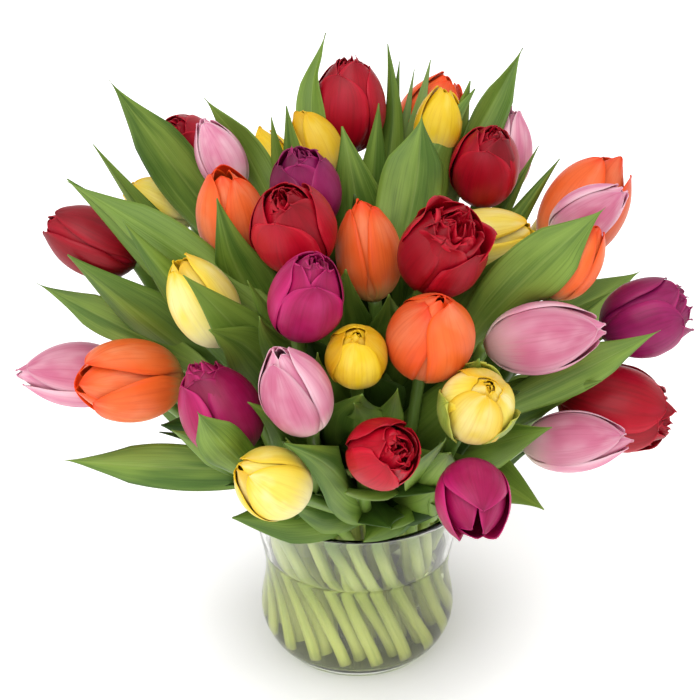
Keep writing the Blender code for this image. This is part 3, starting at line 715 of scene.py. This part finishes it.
def read_leaf(node):
    """A leaf solid's rings, from its root to its tip, as left edge, midrib and right edge."""
    points, _ = corners_of(node)
    tip = points[np.linalg.norm(points - GATHER, axis=1).argmax()]
    cage = []
    for ring in rings_of(node, tip, LEAF_RING_CORNERS)[::-1]:
        apart = np.linalg.norm(ring[:, None] - ring[None], axis=2) + np.eye(len(ring))
        a, b = np.unravel_index(apart.argmin(), apart.shape)
        edges = [ring[i] for i in range(len(ring)) if i not in (a, b)]
        left, right = edges if len(edges) == 2 else (ring[0], ring[0])
        if cage and np.linalg.norm(left - cage[-1][0]) > np.linalg.norm(left - cage[-1][2]):
            left, right = right, left
        cage.append([left, (ring[a] + ring[b]) / 2, right])
    cage[-1] = [np.mean(cage[-1], axis=0)] * 3
    cage = np.array(cage)
    ahead = cage[-1, 1] - cage[0, 1]
    facing = np.cross(cage[MIDDLE_RING, 2] - cage[MIDDLE_RING, 0], ahead)
    return cage if facing @ (cage[MIDDLE_RING, 1] - BUNCH_MIDDLE) > 0 else cage[:, ::-1]


for number, node in enumerate(LEAF_NODES):
    rng = np.random.default_rng(300 + number)
    new_piece(node + "_blade", [leaf_skin(read_leaf(node), rng, 0.0016)], LEAF, node)
print(len(LEAF_NODES), "leaves from their solids")

# %% Small leaves between the flowers
# For each leaf its width (mm), its roll, and two or three places along it, the last one its tip:
# bearing (0 is the front, 90 the right), lean from the vertical, and reach (mm) from the gathering.
SMALL_LEAVES = {
    "left_tall": (16, 0, (-100, 38, 234), (-101, 37, 254)),
    "left_long": (30, 0, (-35, 30, 160), (-62, 34, 222), (-82, 38, 262)),
    "left_upright": (22, 0, (-54, 37, 229), (-64, 35, 245)),
    "left_broad": (34, 20, (-70, 45, 210), (-79, 45, 232)),
    "left_dark": (30, 0, (-22, 58, 117), (-24, 53, 152), (-27, 48, 181)),
    "over_yellow": (28, -10, (-31, 36, 225), (-42, 36, 234)),
    "by_orange": (34, 10, (-41, 27, 216), (-54, 24, 231)),
    "crown_gap": (24, 0, (166, 10, 190), (170, 14, 224)),
    "crown_left": (42, 0, (45, 7, 175), (90, 1, 195), (-157, 6, 219)),
    "crown_yellow": (30, 0, (95, 14, 185), (118, 18, 216), (134, 23, 240)),
    "crown_right": (30, 0, (134, 21, 221), (135, 22, 244)),
    "crown_thin": (16, 0, (157, 26, 219), (156, 25, 249)),
    "crown_needle": (13, 0, (162, 19, 207), (164, 21, 246)),
    "low_left": (24, 0, (-42, 62, 144), (-45, 57, 171)),
    "pale_left": (38, -15, (-29, 40, 190), (-36, 40, 209)),
    "back_left_thin": (20, 0, (-112, 15, 212), (-118, 14, 228)),
    "back_left": (24, 0, (-112, 11, 216), (-117, 11, 235)),
    "by_magenta": (22, 0, (-21, 36, 192), (-25, 36, 210)),
    "sliver": (14, 0, (-32, 32, 191), (-33, 31, 210)),
    "back_needle": (17, 0, (166, 18, 230), (168, 19, 256)),
    "back_thin": (11, 0, (158, 25, 219), (161, 25, 242)),
    "right_thin": (12, 0, (115, 31, 205), (120, 33, 223)),
    "right_upright": (16, 0, (107, 31, 206), (109, 33, 225)),
    "right_dark": (40, -10, (50, 33, 206), (61, 30, 217)),
    "right_tip": (16, 0, (77, 45, 187), (82, 47, 197)),
    "right_bright": (26, 0, (51, 54, 172), (62, 55, 186)),
    "right_hanging": (28, 0, (40, 56, 150), (36, 61, 178), (36, 69, 182)),
    "right_pale": (28, 15, (30, 56, 186), (40, 56, 194)),
    "middle_left": (34, 0, (-14, 25, 146), (-8, 26, 178), (-5, 23, 194)),
    "middle_right": (32, 0, (26, 27, 148), (18, 27, 172), (15, 25, 182)),
    "middle_front": (36, 0, (-4, 47, 131), (-2, 46, 172), (1, 44, 190)),
    "front_sliver": (16, 0, (10, 48, 181), (9, 44, 190)),
    "front_cup": (42, 0, (24, 86, 74), (20, 73, 112), (20, 55, 178)),
    "front_fold": (37, 0, (18, 82, 76), (-4, 66, 142), (-14, 53, 197)),
    "front_pale": (28, 0, (16, 63, 128), (6, 64, 146), (-3, 61, 160)),
    "front_small": (24, 0, (-3, 42, 184), (-10, 39, 194)),
    "front_dark": (22, 0, (6, 46, 186), (-1, 46, 189)),
    "rim_sweep": (34, 0, (10, 80, 70), (-14, 84, 88), (-38, 76, 118)),
    "rim_gap": (30, 0, (2, 78, 84), (-12, 71, 114), (-17, 66, 136)),
    "rim_pale": (30, 0, (40, 74, 74), (22, 82, 84), (2, 82, 92)),
    "rim_right": (26, 0, (40, 72, 80), (27, 76, 90), (12, 78, 92)),
    "rim_wrap": (30, 0, (50, 86, 72), (38, 79, 92), (24, 70, 118)),
    "rim_back": (32, 0, (150, 70, 84), (172, 76, 100), (-170, 74, 128)),
    "rim_far_left": (30, 0, (-80, 66, 90), (-92, 72, 116), (-104, 74, 140)),
    "rim_far_right": (30, 0, (86, 62, 95), (98, 68, 124), (108, 72, 150)),
    "pale_cup": (32, 0, (22, 52, 150), (21, 50, 185), (24, 47, 200)),
}
SMALL_RINGS = 11
ROOT_SHARE = 0.25           # how far out of the gathering a leaf starts, on the way to its first place
BACK_LEAVES_FROM = 0.09     # a leaf whose tip is further back than this faces the back
EDGE_CURL = 0.4             # how far its edges curl in, against its half width
EASING_PASSES = 40
OWN_SHARE = 0.15            # in each pass a point makes this much of its own move off the heads,
RIB_SHARE = 0.45            # this much of its rib's farthest move,
EVEN_SHARE = 0.5            # and goes this far towards the middle of its neighbours
STRAP = curve_through([(0, 0.45), (0.2, 0.80), (0.45, 1.0), (0.65, 0.97), (0.82, 0.80), (0.94, 0.58),
                       (1, 0.40)])


def direction(bearing, lean):
    turn, tip = math.radians(bearing), math.radians(lean)
    return np.array([math.sin(tip) * math.sin(turn), -math.sin(tip) * math.cos(turn), math.cos(tip)])


def reach(bearing, lean, millimetres):
    return GATHER + direction(bearing, lean) * millimetres / 1000


def small_leaf_cage(places, width, roll, facing=None):
    """The rings of a leaf between the flowers, eased off the heads; it faces front or back and up."""
    line = smooth_line([GATHER + (places[0] - GATHER) * ROOT_SHARE, *places], SMALL_RINGS)
    ahead = unit(np.gradient(line, axis=0))
    if facing is None:
        facing = [2 * places[-1][0], -0.75 if places[-1][1] < BACK_LEAVES_FROM else 0.75, 0.5]
    side = unit(np.cross(ahead, facing))
    out = np.cross(side, ahead)
    turn = math.radians(roll)
    across = side * math.cos(turn) + out * math.sin(turn)
    inward = side * math.sin(turn) - out * math.cos(turn)
    half = (width / 2000 * STRAP(np.linspace(0, 1, SMALL_RINGS)))[:, None]
    left, right = (inward * EDGE_CURL - across) * half, (inward * EDGE_CURL + across) * half
    cage = np.stack([line + left, line, line + right], axis=1)
    widths = np.linalg.norm(cage[:, [0, 2]] - cage[:, 1:2], axis=2)
    for _ in range(EASING_PASSES):
        moves = off_the_heads(cage.reshape(-1, 3)).reshape(cage.shape)
        farthest = np.linalg.norm(moves, axis=2).argmax(axis=1)
        cage = cage + OWN_SHARE * moves + RIB_SHARE * moves[np.arange(SMALL_RINGS), farthest][:, None]
        bend = np.zeros_like(cage)
        bend[1:-1] = (cage[:-2] + cage[2:]) / 2 - cage[1:-1]
        cage = cage + EVEN_SHARE * bend
        ribs = cage[:, [0, 2]] - cage[:, 1:2]
        now = np.linalg.norm(ribs, axis=2)
        cage[:, [0, 2]] += ribs * (EVEN_SHARE * (widths / now - 1))[:, :, None]
    return cage


for number, (name, (width, roll, *places)) in enumerate(SMALL_LEAVES.items()):
    rng = np.random.default_rng(500 + number)
    cage = small_leaf_cage([reach(*place) for place in places], width, roll)
    new_piece("small_leaf_" + name, [leaf_skin(cage, rng, 0.0011)], LEAF)
print(len(SMALL_LEAVES), "small leaves")

# %% Leaves deep inside
# Nobody sees more of these than a dark glimpse between two heads, so a golden-angle spiral places
# them: that spreads them evenly over the dome with no two in line.
INNER_LEAVES = 64
GOLDEN_TURN = 137.5
INNER_GROUPS = 4
DOME_SHARE = 0.68           # how much of a half sphere they spread over
TOP_REACH = 176             # mm from the gathering, at the top of the dome
REACH_LOSS = 78             # mm less at its lower edge
OUTWARD_LEAN = 55

groups = [[] for _ in range(INNER_GROUPS)]
for i in range(INNER_LEAVES):
    rng = np.random.default_rng(700 + i)
    share = (i + 0.5) / INNER_LEAVES
    lean = math.degrees(math.acos(1 - share * DOME_SHARE))
    bearing = i * GOLDEN_TURN
    far = TOP_REACH - REACH_LOSS * share
    middle = reach(bearing, lean, far * 0.80)
    tip = reach(bearing + rng.uniform(-14, 14), lean + rng.uniform(-4, 8), far * rng.uniform(1.0, 1.12))
    outward = direction(bearing, OUTWARD_LEAN)
    cage = small_leaf_cage([middle, tip], rng.uniform(30, 42), rng.uniform(-20, 20), outward)
    groups[i % INNER_GROUPS].append(leaf_skin(cage, rng, 0.0010))
# Their finish is the darker leaf green, painted shade for the depth of the bunch.
for i, skins in enumerate(groups):
    new_piece(f"inner_leaves_{i + 1}", skins, PAINTED_SHADE_LEAF)
print(INNER_LEAVES, "leaves inside, in", INNER_GROUPS, "pieces")

# %% [markdown]
# ## Glass and water
# The vase is pressed glass: a heavy foot, a low belly, a slight waist and a flared mouth with a
# fire-polished lip. It is turned, so its profile is spun round its axis with a Screw modifier.
# The water is turned the same way and reaches a hair into the glass, because a film of air left
# between the two would shine like a mirror. Lamp light passes through both as if they were clear,
# so that the stems inside are lit.

# %% Turned pieces
TURN_STEPS = 128
vase_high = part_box("vase")[1]
VASE_HEIGHT = vase_high.z
MOUTH = vase_high.x
WALL = MOUTH * 0.0435
FLOOR = VASE_HEIGHT * 0.0715
CORNER_ROUND = 0.007        # where the floor turns up into the wall
FOOT_TOP = 0.0025
WATER_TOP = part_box("water")[1].z
INTO_GLASS = 0.00015        # how far the water reaches into the glass
WATER_CURVE = 0.0009        # how far the water climbs at the glass
# The outside's radius at each height, as shares of the mouth's radius and of the whole height.
OUTSIDE = curve_through([(0.0, 0.667), (0.071, 0.775), (0.214, 0.851), (0.482, 0.806), (0.759, 0.884),
                         (1.0, 1.0)])


def outside_radius(height):
    return OUTSIDE(height / VASE_HEIGHT) * MOUTH


def spun(name, profile, surface, node):
    """A profile of (radius, height), outer side running down, spun round Z."""
    mesh = bpy.data.meshes.new(name)
    mesh.from_pydata([(r, 0, z) for r, z in profile], [(i, i + 1) for i in range(len(profile) - 1)], [])
    mesh.materials.append(surface)
    made = bpy.data.objects.new(name, mesh)
    bpy.context.scene.collection.objects.link(made)
    screw = made.modifiers.new("turn", "SCREW")
    screw.steps = screw.render_steps = TURN_STEPS
    screw.use_merge_vertices = True
    screw.merge_threshold = 0.00001
    screw.use_smooth_shade = True
    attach(made, "root")
    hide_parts(node)
    return made


def inside_profile(gap, top, count):
    """From the axis out over the floor and up the inner wall."""
    heights = np.linspace(FLOOR + CORNER_ROUND, top, count)
    wall = [(outside_radius(z) - WALL + gap, z) for z in heights]
    corner = wall[0][0]
    bend = [(corner - CORNER_ROUND * (1 - math.sin(a)), FLOOR - gap + CORNER_ROUND * (1 - math.cos(a)))
            for a in np.linspace(0.1, math.pi / 2 - 0.1, 6)]
    return [(0, FLOOR - gap), (corner * 0.5, FLOOR - gap)] + bend + wall


# %% Clear glass and water
def clear_finish(name, tint, roughness, ior, shadow_tint):
    """A see-through solid that lets the lamps' light through."""
    made = Finish(name)
    made.shader.inputs["Transmission Weight"].default_value = 1.0
    made.shader.inputs["IOR"].default_value = ior
    made.shader.inputs["Roughness"].default_value = roughness
    made.shader.inputs["Base Color"].default_value = tint
    clear = made.node("BsdfTransparent", {"Color": shadow_tint})[0]
    shadow = made.node("LightPath")["Is Shadow Ray"]
    both = made.node("MixShader", {0: shadow, 1: made.shader.outputs[0], 2: clear})[0]
    made.feed(made.tree.nodes["Material Output"].inputs[0], both)
    return made


glass = clear_finish("clear_glass", (0.98, 0.99, 0.965, 1), 0.0, 1.5, (0.97, 0.98, 0.96, 1))
ripple = glass.noise(glass.node("TexCoord")["Object"], 14.0, 2.0)
glass.set(Normal=glass.bump(ripple, 0.12, 0.004))
water = clear_finish("vase_water", (0.88, 0.94, 0.52, 1), 0.0, 1.33, (0.92, 0.935, 0.82, 1))
swirl = water.noise(water.node("TexCoord")["Object"], 22.0, 2.0)
water.set(Normal=water.bump(swirl, 0.06, 0.004))

lip = VASE_HEIGHT - WALL / 2
lip_middle = outside_radius(lip) - WALL / 2
lip_round = [(lip_middle + WALL / 2 * math.cos(a), lip + WALL / 2 * math.sin(a))
             for a in np.linspace(math.pi, 0, 9)]
outer = [(outside_radius(z), z) for z in np.linspace(lip, FOOT_TOP, 40)[1:]]
foot = [(outer[-1][0] - 0.0012, 0.0007), (outer[-1][0] - 0.0035, 0.0), (0, 0)]
vase_profile = inside_profile(0, lip, 40)[:-1] + lip_round + outer + foot
spun("glass_vase", vase_profile, glass.material, "vase")

water_side = inside_profile(INTO_GLASS, WATER_TOP, 24)
surface_edge = outside_radius(WATER_TOP) - WALL
meniscus = [(surface_edge - 0.003 * s, WATER_TOP - WATER_CURVE * (1 - (1 - s) ** 2)) for s in (0.3, 0.6, 1.0)]
water_profile = water_side + meniscus + [(0, WATER_TOP - WATER_CURVE)]
spun("water_in_vase", water_profile[::-1], water.material, "water")
print("vase", round(VASE_HEIGHT * 1000), "mm high,", round(MOUTH * 2000), "mm across its mouth")

# %% [markdown]
# ## Studio
# A white floor runs far back, so that it is also the background. A white sky gives the soft light
# from all round, and one wide lamp from the upper left gives the petals their form. The camera looks
# down on the bouquet from the height of a customer's eyes, through a long lens.

# %% Floor, light and camera
FLOOR_HALF = 6.0
FLOOR_GLOW = 0.36
floor_mesh = bpy.data.meshes.new("studio_floor")
floor_corners = [(x * FLOOR_HALF, y * FLOOR_HALF, 0) for x, y in ((-1, -1), (1, -1), (1, 1), (-1, 1))]
floor_mesh.from_pydata(floor_corners, [], [(0, 1, 2, 3)])
floor = bpy.data.objects.new("studio_floor", floor_mesh)
bpy.context.scene.collection.objects.link(floor)
paper = Finish("white_paper")
grain = paper.noise(paper.node("TexCoord")["Object"], 600.0, 3.0)
# The floor glows to stay evenly white. The glow fades out towards the vase and is gone within 4 cm of its axis,
# which paints a soft shadow round its foot.
from_vase = paper.node("VectorMath", {0: paper.node("TexCoord")["Object"]}, operation="LENGTH")[1]
glow_and_painted_shadow = paper.times(paper.between(from_vase, 0.04, 0.15), FLOOR_GLOW)
floor_mesh.materials.append(paper.set(Base_Color=srgb(250, 250, 250), Roughness=0.9, Specular_IOR_Level=0.1,
                                      Emission_Color=srgb(255, 255, 255), Emission_Strength=glow_and_painted_shadow,
                                      Normal=paper.bump(grain, 0.05, 0.0005)))

SKY_LIGHT = 0.80
world = bpy.data.worlds.new("white_studio")
world.use_nodes = True
world.node_tree.nodes["Background"].inputs["Color"].default_value = (1.0, 1.0, 1.0, 1)
sky = world.node_tree.nodes["Background"].inputs["Strength"]
seen = world.node_tree.nodes.new("ShaderNodeLightPath").outputs["Is Camera Ray"]
brightness = world.node_tree.nodes.new("ShaderNodeMapRange")
brightness.inputs["To Min"].default_value = SKY_LIGHT
brightness.inputs["To Max"].default_value = 1.0
world.node_tree.links.new(seen, brightness.inputs["Value"])
world.node_tree.links.new(brightness.outputs[0], sky)
bpy.context.scene.world = world

sun = bpy.data.objects.new("soft_lamp", bpy.data.lights.new("soft_lamp", "SUN"))
sun.data.energy = 1.75
sun.data.angle = math.radians(60)
sun.rotation_euler = (math.radians(34), 0, math.radians(-22))
bpy.context.scene.collection.objects.link(sun)

VIEW_DISTANCE = 1.5
VIEW_ELEVATION = math.radians(30)
VIEW_TARGET = np.array([-0.0044, 0.0, 0.200])
camera = bpy.data.objects.new("camera", bpy.data.cameras.new("camera"))
camera.data.lens = 133
camera.data.sensor_width = 36
view_way = np.array([0, -math.cos(VIEW_ELEVATION), math.sin(VIEW_ELEVATION)])
camera.location = VIEW_TARGET + VIEW_DISTANCE * view_way
camera.rotation_euler = (math.pi / 2 - VIEW_ELEVATION, 0, 0)
bpy.context.scene.collection.objects.link(camera)
bpy.context.scene.camera = camera
bpy.context.scene.view_settings.view_transform = "Standard"
print("camera", VIEW_DISTANCE, "m away, looking down", round(math.degrees(VIEW_ELEVATION)), "degrees")
